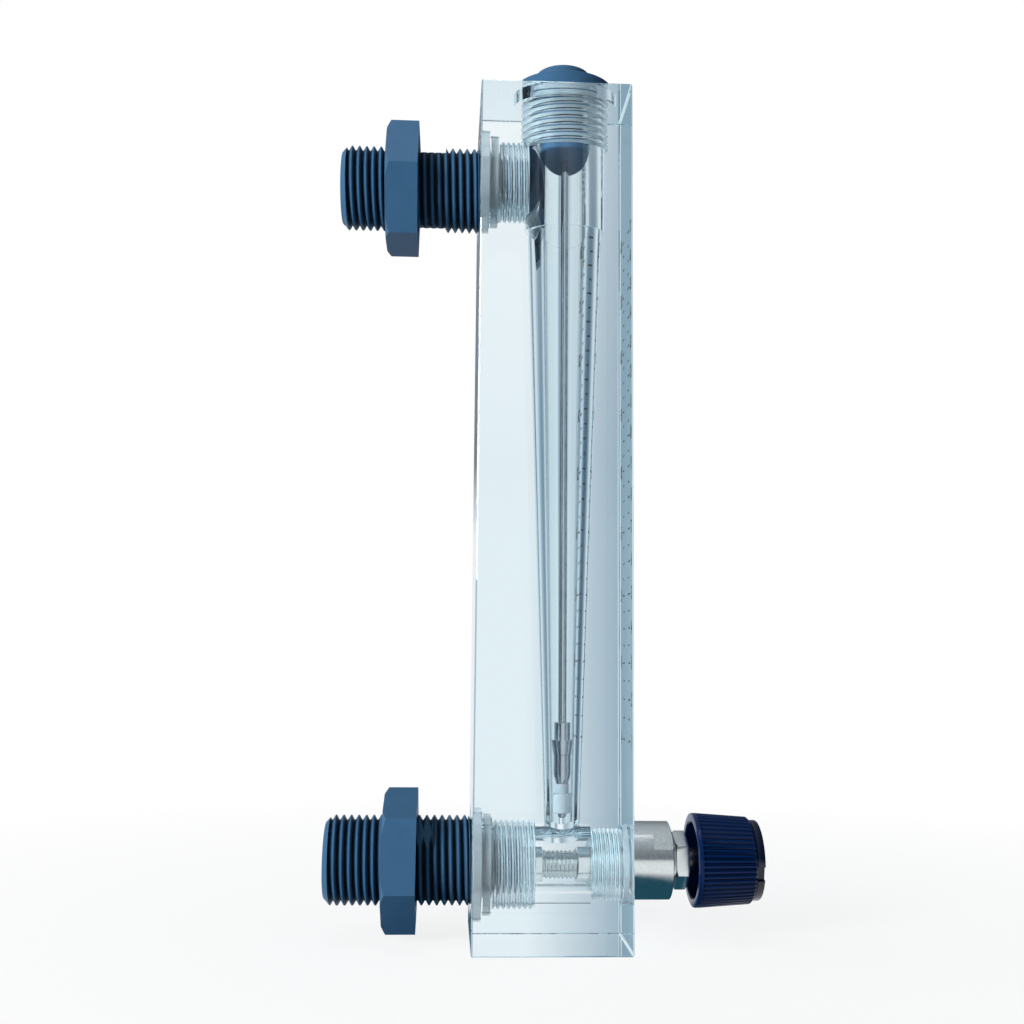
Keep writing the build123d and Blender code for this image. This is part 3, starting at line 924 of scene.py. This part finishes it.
@dataclass
class PipeSide(Assembly):
    """Connector, rings and panel nut at both back ports, in millimetres.

    Attributes:
        places: each port's axis, its nut's face towards the block, and where a corner of the nut and
            a flat of the connector face, in degrees up from the near side.
    """

    back: float = -18.5
    tip: float = -53.1
    inner_end: float = -6.9
    flats: float = 18.6
    flat_stations: tuple[float, float] = (-38.0, -27.0)
    nut_flats: float = 29.5
    nut_thickness: float = 8.0
    places: dict[str, tuple[Lie, float, float, float]] = field(default_factory=lambda: {
        "upper": (Lie.UPPER_PORT, -33.8, 1.5, 68.0),
        "lower": (Lie.LOWER_PORT, -31.3, 41.5, 51.0),
    })

    def connector_blank(self) -> Piece:
        """Cut both threads and bore the nipple, at the lower port.

        Returns:
            The nipple without its flats.
        """
        lie = Lie.LOWER_PORT
        piece = PIPE_THREAD.rod("nipple", lie, self.tip, self.back - 0.3)
        combine(piece, PORT_THREAD.rod("inner_shank", lie, self.back - 0.6, self.inner_end), Cut.ADD)
        combine(piece, turn_solid("tip_chamfer", lie, [
            (self.tip - 1, 8.5), (self.tip - 0.02, 8.85), (self.tip + 1.9, 10.9), (self.tip + 1.9, 12),
            (self.tip - 1, 12)], 72), Cut.REMOVE)
        combine(piece, turn_solid("through_bore", lie, [
            (self.tip - 1, 0), (self.tip - 1, 7.1), (self.tip, 7.1), (self.tip + 0.6, 6.5), (-13.0, 6.5), (-13.0, 5.0),
            (self.inner_end + 1, 5.0), (self.inner_end + 1, 0)]), Cut.REMOVE)
        tidy_mesh(piece, CLOSE)
        return piece

    def nut(self, name: str, lie: Lie, inner_x: float, angle: float) -> Piece:
        """Mould a panel nut.

        Args:
            name: the nut's name.
            lie: its axis.
            inner_x: station of its face towards the block.
            angle: where one corner points, in degrees up from the near side.

        Returns:
            The nut.
        """
        outer = inner_x - self.nut_thickness
        piece = hexagon(name, self.nut_flats, self.nut_thickness, along(lie, (outer + inner_x) / 2, -angle))
        combine(piece, turn_solid("nut_cone", lie, [
            (outer, 0), (outer, 15.4), (outer + 1.5, 18.0), (inner_x, 18.0), (inner_x, 0)]), Cut.KEEP_INSIDE)
        combine(piece, NUT_THREAD.rod("nut_hole", lie, outer - 1, inner_x + 1), Cut.REMOVE)
        for face_x, sign in ((outer, 1), (inner_x, -1)):
            combine(piece, turn_solid("mouth", lie, [
                (face_x - sign * 0.5, 0), (face_x - sign * 0.5, 11.6), (face_x + sign * 0.7, 10.4),
                (face_x + sign * 0.7, 0)]), Cut.REMOVE)
        tidy_mesh(piece, CLOSE)
        return piece

    def rings(self, place: str, lie: Lie) -> None:
        """Mould the flat ring and the squeezed ring of one port.

        Args:
            place: the port's name.
            lie: its axis.
        """
        piece = turn_solid(f"{place}_face_ring", lie, [
            (-18.2, 10.22), (-18.2, 12.75), (-17.95, 13.02), (-16.2, 13.02), (-16.02, 12.8), (-16.02, 10.22)])
        dress(piece, self.finishes.silicone, "block", f"{place}_face_seal")
        piece = turn_solid(f"{place}_port_ring", lie, [
            (-15.98, 10.22), (-15.98, 11.4), (-15.7, 11.68), (-14.0, 11.68), (-13.72, 11.4), (-13.72, 10.22)])
        dress(piece, self.finishes.silicone, "block", f"{place}_port_seal")

    def build(self) -> None:
        """Build both ports' pieces."""
        blank = self.connector_blank()
        for place, (lie, nut_x, corner, flat) in self.places.items():
            piece = copy_piece(blank, f"{place}_nipple", lie.centre() - Lie.LOWER_PORT.centre())
            mill_flats(piece, lie, self.flat_stations, self.flats, (flat, flat + 180))
            tidy_mesh(piece, CLOSE)
            dress(piece, self.finishes.slate, "block", f"{place}_connector")
            self.rings(place, lie)
            nut = self.nut(f"{place}_nut", lie, nut_x, corner)
            dress(nut, self.finishes.slate, f"{place}_nut", f"{place}_panel_nut", 22)
        bpy.data.objects.remove(blank, do_unlink=True)


@dataclass
class ControlValve(Assembly):
    """Bonnet, its ring, spindle, packing and gland nut, in millimetres."""

    nose_x: float = 6.5
    bonnet_end: float = 30.2
    flats: float = 17.8
    flat_stations: tuple[float, float] = (24.7, 34.7)
    flat_angles: tuple[float, ...] = (38.0, 128.0, 218.0, 308.0)
    gland_flats: float = 12.0
    gland_stations: tuple[float, float] = (30.5, 33.6)
    gland_turn: float = -36.0

    def bonnet(self) -> None:
        """Turn the bonnet, cut its thread and mill its four flats."""
        piece = turn_solid("bonnet", VALVE, [
            (self.nose_x, 5.05), (self.nose_x, 5.8), (self.nose_x + 0.2, 6.0), (9.7, 6.0), (9.7, 7.3), (17.2, 7.3),
            (18.52, 7.3), (18.52, 9.0), (18.7, 9.2), (29.15, 9.2), (29.25, 9.1), (30.15, 7.1), (self.bonnet_end, 7.0),
            (self.bonnet_end, 5.0), (23.8, 5.0), (23.8, 3.1), (22.8, 3.1), (22.8, 5.05)], 128)
        thread = BONNET_THREAD.rod("bonnet_thread", VALVE, 9.55, 16.8, 0.0, 96)
        combine(thread, turn_solid("thread_bore", VALVE, [(8, 0), (8, 6.9), (18, 6.9), (18, 0)]), Cut.REMOVE)
        combine(piece, thread, Cut.ADD)
        mill_flats(piece, VALVE, self.flat_stations, self.flats, self.flat_angles)
        tidy_mesh(piece, CLOSE)
        dress(piece, self.finishes.nickel_x, "block", "valve_body", 10)

    def rings(self) -> None:
        """Mould the bonnet's ring and the packing."""
        piece = turn_solid("bonnet_ring", VALVE, [
            (16.83, 7.42), (16.83, 9.1), (17.05, 9.38), (18.2, 9.38), (18.48, 9.1), (18.48, 7.42)])
        dress(piece, self.finishes.silicone, "block", "valve_body_seal")
        piece = turn_solid("stem_packing", VALVE, [
            (23.82, 3.02), (23.82, 4.96), (26.82, 4.96), (26.82, 3.02)], 64)
        dress(piece, self.finishes.ptfe, "block", "stem_packing")

    def gland(self) -> None:
        """Turn the gland nut from hexagon bar."""
        start, end = self.gland_stations
        middle = along(VALVE, (start + end) / 2, self.gland_turn)
        piece = hexagon("gland_hexagon", self.gland_flats, end - start, middle)
        combine(piece, turn_solid("gland_cone", VALVE, [
            (start, 0), (start, 6.35), (31.0, 7.2), (33.1, 7.2), (end, 6.3), (end, 0)]), Cut.KEEP_INSIDE)
        combine(piece, turn_solid("gland_shank", VALVE, [(26.84, 0), (26.84, 4.9), (30.7, 4.9), (30.7, 0)]), Cut.ADD)
        combine(piece, turn_solid("gland_bore", VALVE, [(26, 0), (26, 3.1), (35, 3.1), (35, 0)], 64), Cut.REMOVE)
        tidy_mesh(piece, CLOSE)
        soften(piece)
        dress(piece, self.finishes.nickel_x, "block", "gland_nut")

    def spindle(self) -> None:
        """Turn the plunger, screw and stem."""
        piece = turn_solid("spindle", VALVE, [
            (-9.8, 0), (-9.8, 2.9), (-9.6, 3.1), (-6.8, 4.85), (-6.8, 5.8), (-6.6, 6.0), (-1.8, 6.0), (-1.6, 5.8),
            (-1.6, 4.2), (15.2, 4.2), (15.2, 3.0), (45.8, 3.0), (45.8, 1.52), (39.1, 1.52), (39.1, 0)])
        thread = STEM_THREAD.rod("stem_thread", VALVE, -1.7, 15.3, 0.0, 72)
        combine(thread, turn_solid("stem_core", VALVE, [(-3, 0), (-3, 3.9), (18, 3.9), (18, 0)], 72), Cut.REMOVE)
        combine(piece, thread, Cut.ADD)
        tidy_mesh(piece, CLOSE)
        dress(piece, self.finishes.nickel_x, "spindle", "valve_spindle")

    def build(self) -> None:
        """Build the valve's metal and its rings."""
        self.bonnet()
        self.rings()
        self.gland()
        self.spindle()


@dataclass
class Knob(Assembly):
    """The fluted knob with its cap and screw, in millimetres.

    Attributes:
        facets: corners of the drum for each flute.
        pulled: which of these corners are pulled in, and by what share of the flute's depth.
        inner_x: station of the knob's inner floor.
    """

    mouth_x: float = 35.05
    end_x: float = 49.15
    mouth: float = 11.1
    front: float = 10.2
    flutes: int = 54
    flute_depth: float = 0.45
    facets: int = 6
    pulled: tuple[tuple[int, float], ...] = ((0, 1.0), (1, 0.8), (5, 0.8))
    inner_x: float = 45.83
    notch: tuple[float, float, float] = (3.0, 3.2, 3.4)
    notch_x: float = 50.7
    notch_radius: float = 9.5
    notch_turn: float = 12.0
    key_flats: float = 2.5
    key_depth: float = 2.0

    def body(self) -> None:
        """Mould the knob: ribs pulled in from a drum, mouth, hub and cap seat."""
        around = self.flutes * self.facets
        length = self.end_x - self.mouth_x - 1.0
        lay_down()
        bpy.ops.mesh.primitive_cylinder_add(vertices=around, radius=self.mouth * MM, depth=length * MM,
                                            location=(0, 0, 0), enter_editmode=True)
        piece = bpy.context.object
        piece.name = piece.data.name = "knob_body"
        bpy.ops.mesh.select_all(action="DESELECT")
        bpy.ops.object.mode_set(mode="OBJECT")
        for corner, share in self.pulled:
            for vertex in piece.data.vertices:
                turn = math.atan2(vertex.co.y, vertex.co.x) / math.tau * around
                vertex.select = round(turn) % self.facets == corner
            bpy.ops.object.mode_set(mode="EDIT")
            shrink = 1 - self.flute_depth * share / self.mouth
            bpy.ops.transform.resize(value=(shrink, shrink, 1), center_override=(0, 0, 0))
            bpy.ops.mesh.select_all(action="DESELECT")
            bpy.ops.object.mode_set(mode="OBJECT")
        for vertex in piece.data.vertices:
            vertex.select = vertex.co.z > 0
        bpy.ops.object.mode_set(mode="EDIT")
        narrow = self.front / self.mouth
        bpy.ops.transform.resize(value=(narrow, narrow, 1), center_override=(0, 0, 0))
        lay_down()
        piece.data.transform(along(VALVE, self.end_x - length / 2) @ Matrix.Rotation(math.radians(90), 4, "Y"))
        combine(piece, turn_solid("knob_rim", VALVE, [
            (self.mouth_x, 0), (self.mouth_x, 10.7), (self.mouth_x + 0.12, 10.98), (self.mouth_x + 0.4, self.mouth),
            (self.mouth_x + 1.0, self.mouth - 0.02), (self.mouth_x + 1.25, 10.6), (self.mouth_x + 1.25, 0)], 162),
            Cut.ADD)
        combine(piece, turn_solid("front_edge", VALVE, [
            (self.end_x + 0.4, 9.3), (self.end_x + 0.01, 9.55), (self.end_x - 0.35, 9.95), (self.end_x - 1.0, 10.6),
            (self.end_x - 1.0, 12), (self.end_x + 0.4, 12)], 162), Cut.REMOVE)
        combine(piece, turn_solid("mouth_hollow", VALVE, [
            (self.mouth_x - 1, 0), (self.mouth_x - 1, 9.3), (self.mouth_x, 9.3), (self.mouth_x + 0.3, 9.0),
            (self.inner_x, 9.0), (self.inner_x, 5.2), (38.35, 5.2), (38.25, 5.1), (38.25, 0)], 128), Cut.REMOVE)
        combine(piece, turn_solid("stem_hole", VALVE, [
            (37, 0), (37, 3.02), (self.inner_x, 3.02), (self.inner_x, 1.6), (48, 1.6), (48, 0)], 64), Cut.REMOVE)
        combine(piece, turn_solid("cap_seat", VALVE, [
            (47.43, 0), (47.43, 8.02), (50, 8.02), (50, 0)]), Cut.REMOVE)
        tidy_mesh(piece, CLOSE)
        dress(piece, self.finishes.knob, "knob", "control_knob", 40)

    def cap(self) -> None:
        """Mould the cap with the notch that shows the knob's turn."""
        piece = turn_solid("knob_cap", VALVE, [
            (47.77, 6.4), (47.77, 8.0), (49.17, 8.0), (49.17, 9.4), (49.27, 9.5), (50.7, 9.5), (50.95, 9.36),
            (51.07, 9.05), (51.07, 0), (49.17, 0), (49.17, 6.4)], 128)
        combine(piece, box(along(VALVE, self.notch_x, self.notch_turn)
                           @ Matrix.Translation(Vector((0, -self.notch_radius * MM, 0)))
                           @ Matrix.Diagonal([size * MM for size in self.notch] + [1.0])), Cut.REMOVE)
        tidy_mesh(piece, CLOSE)
        soften(piece)
        dress(piece, self.finishes.cap, "knob", "knob_cap")

    def screw(self) -> None:
        """Turn the knob's screw."""
        piece = turn_solid("knob_screw", VALVE, [
            (39.45, 0), (39.45, 1.2), (39.75, 1.5), (47.45, 1.5), (47.45, 2.7), (47.55, 2.8), (48.65, 2.8),
            (48.95, 2.5), (48.95, 0)], 48)
        combine(piece, hexagon("key", self.key_flats, self.key_depth, along(VALVE, 49.05)), Cut.REMOVE)
        tidy_mesh(piece, CLOSE)
        dress(piece, self.finishes.steel_x, "knob", "knob_screw")

    def build(self) -> None:
        """Build the knob's pieces."""
        self.body()
        self.cap()
        self.screw()


@dataclass
class Scale(Assembly):
    """Printed scale on the front face: two columns of lines with their figures, in millimetres.

    Attributes:
        crowding: below 1, the lines stand closer towards the top.
        columns: side, lines per figure, first figure, and what each next figure adds.
    """

    face_x: float = 18.5
    ink: float = 0.02
    foot_z: float = 47.4
    head_z: float = 172.0
    steps: int = 32
    side: float = 4.5
    line_width: float = 0.5
    long_line: float = 4.5
    short_line: float = 2.8
    crowding: float = 0.92
    figure_side: float = 8.0
    figure_size: float = 4.4
    bold: float = 0.16
    columns: tuple[tuple[int, int, int, int], ...] = ((-1, 2, 1, 1), (1, 4, 4, 4))

    def line(self, z: float, length: float, side: int) -> Piece:
        """Print one line at a height, starting from its column."""
        return box(Matrix.Translation(Vector((self.face_x + self.ink / 4, side * (self.side + length / 2), z)) * MM)
                   @ Matrix.Diagonal((self.ink * MM, length * MM, self.line_width * MM, 1)))

    def figure(self, text: str, z: float, side: int) -> Piece:
        """Print one figure beside its line.

        Args:
            text: the figure.
            z: its height in millimetres.
            side: 1 or -1, for its column.

        Returns:
            The figure's mesh.
        """
        lay_down()
        bpy.ops.object.text_add(location=(0, 0, 0))
        word = bpy.context.object
        word.data.body = text
        word.data.size = self.figure_size * MM
        word.data.extrude = self.ink / 2 * MM
        word.data.offset = self.bold * MM
        word.data.resolution_u = 3
        word.data.align_x = "CENTER"
        word.data.align_y = "CENTER"
        bpy.ops.object.convert(target="MESH")
        piece = bpy.context.object
        place = Vector((self.face_x + self.ink / 4, side * (self.side + self.figure_side), z)) * MM
        piece.data.transform(
            Matrix.Translation(place) @ Matrix.Rotation(math.radians(90), 4, "Z")
            @ Matrix.Rotation(math.radians(90), 4, "X"))
        return piece

    def build(self) -> None:
        """Print both columns as one piece."""
        parts = []
        for side, lines, first, step in self.columns:
            for index in range(self.steps + 1):
                share = index / self.steps
                z = self.foot_z + (self.head_z - self.foot_z) * share ** self.crowding
                whole = index % lines == 0
                parts.append(self.line(z, self.long_line if whole else self.short_line, side))
                if whole:
                    parts.append(self.figure(str(first + index // lines * step), z, side))
        lay_down()
        for part in parts:
            part.select_set(True)
        bpy.context.view_layer.objects.active = parts[0]
        bpy.ops.object.join()
        piece = bpy.context.object
        piece.name = piece.data.name = "printed_scale"
        dress(piece, self.finishes.ink, "block", angle=None)


# What each kind of ray sees of the room, from left to right (X) or from the floor up (Z)
THROUGH_X: Stops = (
    (-1.0, "7d97a9"), (-0.75, "dfe9ee"), (-0.2, "e9f5f8"), (-0.14, "8fa9b8"), (-0.09, "a3b6c4"), (-0.05, "ffffff"),
    (0.064, "ffffff"), (0.15, "94aaba"), (0.25, "b3c4d0"), (0.4, "e2ebf0"), (0.75, "dbe5ea"), (1.0, "3f6279"))
THROUGH_Z: Stops = ((-1.0, "eef5f8"), (0.1, "eef5f8"), (0.4, "ffffff"))
CAMERA_SIDE_X: Stops = (
    (-1.0, "24425a"), (-0.5, "2b4a63"), (-0.25, "e4ecf0"), (0.25, "fbfdfe"), (0.6, "b5c6d1"), (1.0, "5f7a8d"))
GLOSS_X: Stops = ((-1.0, "ffffff"), (-0.3, "fbfdfe"), (0.2, "eef2f5"), (0.5, "84919b"), (1.0, "0b1218"))
GLOSS_Z: Stops = ((-1.0, "ffffff"), (0.1, "ffffff"), (0.16, "747a7d"), (0.6, "989ea2"), (1.0, "c4cace"))
SPREAD_X: Stops = ((-1.0, "c3ced6"), (0.0, "5a6771"), (0.5, "1a2127"), (1.0, "0d1216"))


@dataclass
class Studio:
    """Floor, lights, backdrop and camera.

    Attributes:
        fade: where the paper starts and ends its fading into white, in metres from the meter.
        shade: where the painted shade of the meter on the floor starts and ends in reflections, in metres.
        inner_share: how much of the spread light dull pieces inside the block get.
    """

    camera_mm: tuple[float, float, float] = (-24.6, -300.8, 66.5)
    yaw: float = 2.93
    pitch: float = 6.88
    roll: float = 0.52
    focal_px: float = 1218.0
    image_px: float = 1024.0
    sensor_mm: float = 36.0
    floor_size: float = 6.0
    fade: tuple[float, float] = (0.06, 0.3)
    fade_low: float = 0.84
    shade: tuple[float, float] = (0.036, 0.05)
    inner_share: float = 0.75

    def camera(self) -> None:
        """Set the camera where the photograph was taken from."""
        yaw, pitch, roll = (math.radians(a) for a in (self.yaw, self.pitch, self.roll))
        forward = Vector((math.sin(yaw) * math.cos(pitch), math.cos(yaw) * math.cos(pitch), math.sin(pitch)))
        right = Vector((math.cos(yaw), -math.sin(yaw), 0))
        up = right.cross(forward)
        right, up = (right * math.cos(roll) + up * math.sin(roll), up * math.cos(roll) - right * math.sin(roll))
        lay_down()
        bpy.ops.object.camera_add(location=Vector(self.camera_mm) * MM)
        camera = bpy.context.object
        camera.rotation_euler = Matrix((right, up, -forward)).transposed().to_euler()
        camera.data.sensor_width = self.sensor_mm
        camera.data.sensor_fit = "HORIZONTAL"
        camera.data.lens = self.focal_px * self.sensor_mm / self.image_px
        camera.data.clip_start = 0.01
        bpy.context.scene.camera = camera

    def floor(self) -> None:
        """Lay the pale floor, which reads white and keeps a faint shadow."""
        lay_down()
        bpy.ops.mesh.primitive_plane_add(size=self.floor_size, location=(0, 0, -0.0001))
        ground = bpy.context.object
        ground.name = "studio_floor"
        material, tree, _ = start_material("white_paper_floor")
        ray = add_node(tree, "ShaderNodeLightPath")
        place = add_node(tree, "ShaderNodeTexCoord")
        reach = add_node(tree, "ShaderNodeVectorMath", {"operation": "LENGTH"},
                         {0: place.outputs["Object"]}).outputs["Value"]
        paper = add_node(tree, "ShaderNodeBsdfDiffuse", {"Color": linear("f4f6f7")})
        glow = add_node(tree, "ShaderNodeEmission", {"Color": (1, 1, 1, 1), "Strength": 1.0})
        seen = choose(tree, remap(tree, reach, *self.fade, low=self.fade_low), paper, glow)
        # What polished pieces show of the floor: a painted shade of the meter near it, then white paper
        shown = blend(tree, remap(tree, reach, *self.shade), "234f60", "f2f6f8")
        reflected_shade_and_paper = add_node(tree, "ShaderNodeEmission", {"Strength": 1.0}, {"Color": shown})
        dim = add_node(tree, "ShaderNodeBsdfDiffuse", {"Color": linear("b4c6d0")})
        lit = choose(tree, ray.outputs["Is Glossy Ray"], dim, reflected_shade_and_paper)
        add_node(tree, "ShaderNodeOutputMaterial", {},
                 {"Surface": choose(tree, ray.outputs["Is Camera Ray"], lit, seen).outputs[0]})
        ground.data.materials.append(material)
        ground.visible_transmission = False

    def ramp(self, tree: Tree, amount: Socket, stops: Stops) -> Socket:
        """Colour a direction's part by a ramp.

        Args:
            tree: the world's tree.
            amount: the part of the direction, from -1 to 1.
            stops: that part and the colour at each stop.

        Returns:
            The colour.
        """
        node = add_node(tree, "ShaderNodeValToRGB", {}, {0: remap(tree, amount, -1.0, 1.0)})
        elements = node.color_ramp.elements
        while len(elements) < len(stops):
            elements.new(0.5)
        for element, (where, colour) in zip(elements, stops):
            element.position = (where + 1) / 2
            element.color = linear(colour)
        return node.outputs[0]

    def world(self) -> None:
        """White backdrop; the room that glass, metal and plastic show is lighter at the left."""
        world = bpy.data.worlds.new("studio")
        world.use_nodes = True
        bpy.context.scene.world = world
        tree = world.node_tree
        tree.nodes.clear()
        ray = add_node(tree, "ShaderNodeLightPath")
        place = add_node(tree, "ShaderNodeTexCoord")
        parts = add_node(tree, "ShaderNodeSeparateXYZ", {}, {0: place.outputs["Generated"]})
        x, y, z = parts.outputs
        through = blend(tree, None, self.ramp(tree, x, THROUGH_X), self.ramp(tree, z, THROUGH_Z), "MULTIPLY")
        glass = blend(tree, remap(tree, y, -0.05, -0.4), through, self.ramp(tree, x, CAMERA_SIDE_X))
        gloss = blend(tree, None, self.ramp(tree, x, GLOSS_X), self.ramp(tree, z, GLOSS_Z), "MULTIPLY")
        spread = self.ramp(tree, x, SPREAD_X)
        # Dull pieces inside the block get less light than the view through it
        inner = remap(tree, ray.outputs["Diffuse Depth"], high=self.inner_share)
        glass = blend(tree, inner, glass, spread)
        room = blend(tree, ray.outputs["Is Transmission Ray"], gloss, glass)
        room = blend(tree, ray.outputs["Is Diffuse Ray"], room, spread)
        light = add_node(tree, "ShaderNodeBackground", {"Strength": 1.0}, {"Color": room})
        backdrop = add_node(tree, "ShaderNodeBackground", {"Color": (1, 1, 1, 1), "Strength": 1.0})
        shown = choose(tree, ray.outputs["Is Camera Ray"], light, backdrop)
        add_node(tree, "ShaderNodeOutputWorld", {}, {"Surface": shown.outputs[0]})

    def lamp(self, name: str, place: tuple[float, float, float], size: float, watts: float) -> None:
        """Hang a soft lamp that looks at the middle of the meter.

        Args:
            name: the lamp's name.
            place: where it hangs, in metres.
            size: its side in metres.
            watts: its power.
        """
        lay_down()
        bpy.ops.object.light_add(type="AREA", location=place)
        lamp = bpy.context.object
        lamp.name = name
        lamp.data.size = size
        lamp.data.energy = watts
        aim = Vector((0, 0, 0.1)) - Vector(place)
        lamp.rotation_euler = aim.to_track_quat("-Z", "Y").to_euler()
        lamp.visible_transmission = False

    def build(self) -> None:
        """Set up the studio."""
        self.floor()
        self.world()
        self.lamp("key", (-0.8, -0.7, 0.35), 0.4, 13.0)
        self.lamp("top", (-0.1, -0.2, 1.0), 0.4, 1.5)
        self.camera()
        scene = bpy.context.scene
        scene.view_settings.view_transform = "Standard"
        scene.cycles.max_bounces = 24
        scene.cycles.transmission_bounces = 24
        scene.cycles.glossy_bounces = 12
        scene.cycles.transparent_max_bounces = 16


def main() -> None:
    """Build every sub-assembly, dress it and set the studio."""
    finishes = Finishes()
    for assembly in (ClearBlock, TubeFittings, PipeSide, ControlValve, Knob, Scale):
        assembly(finishes).build()
    Studio().build()


if __name__ == "__main__":
    main()
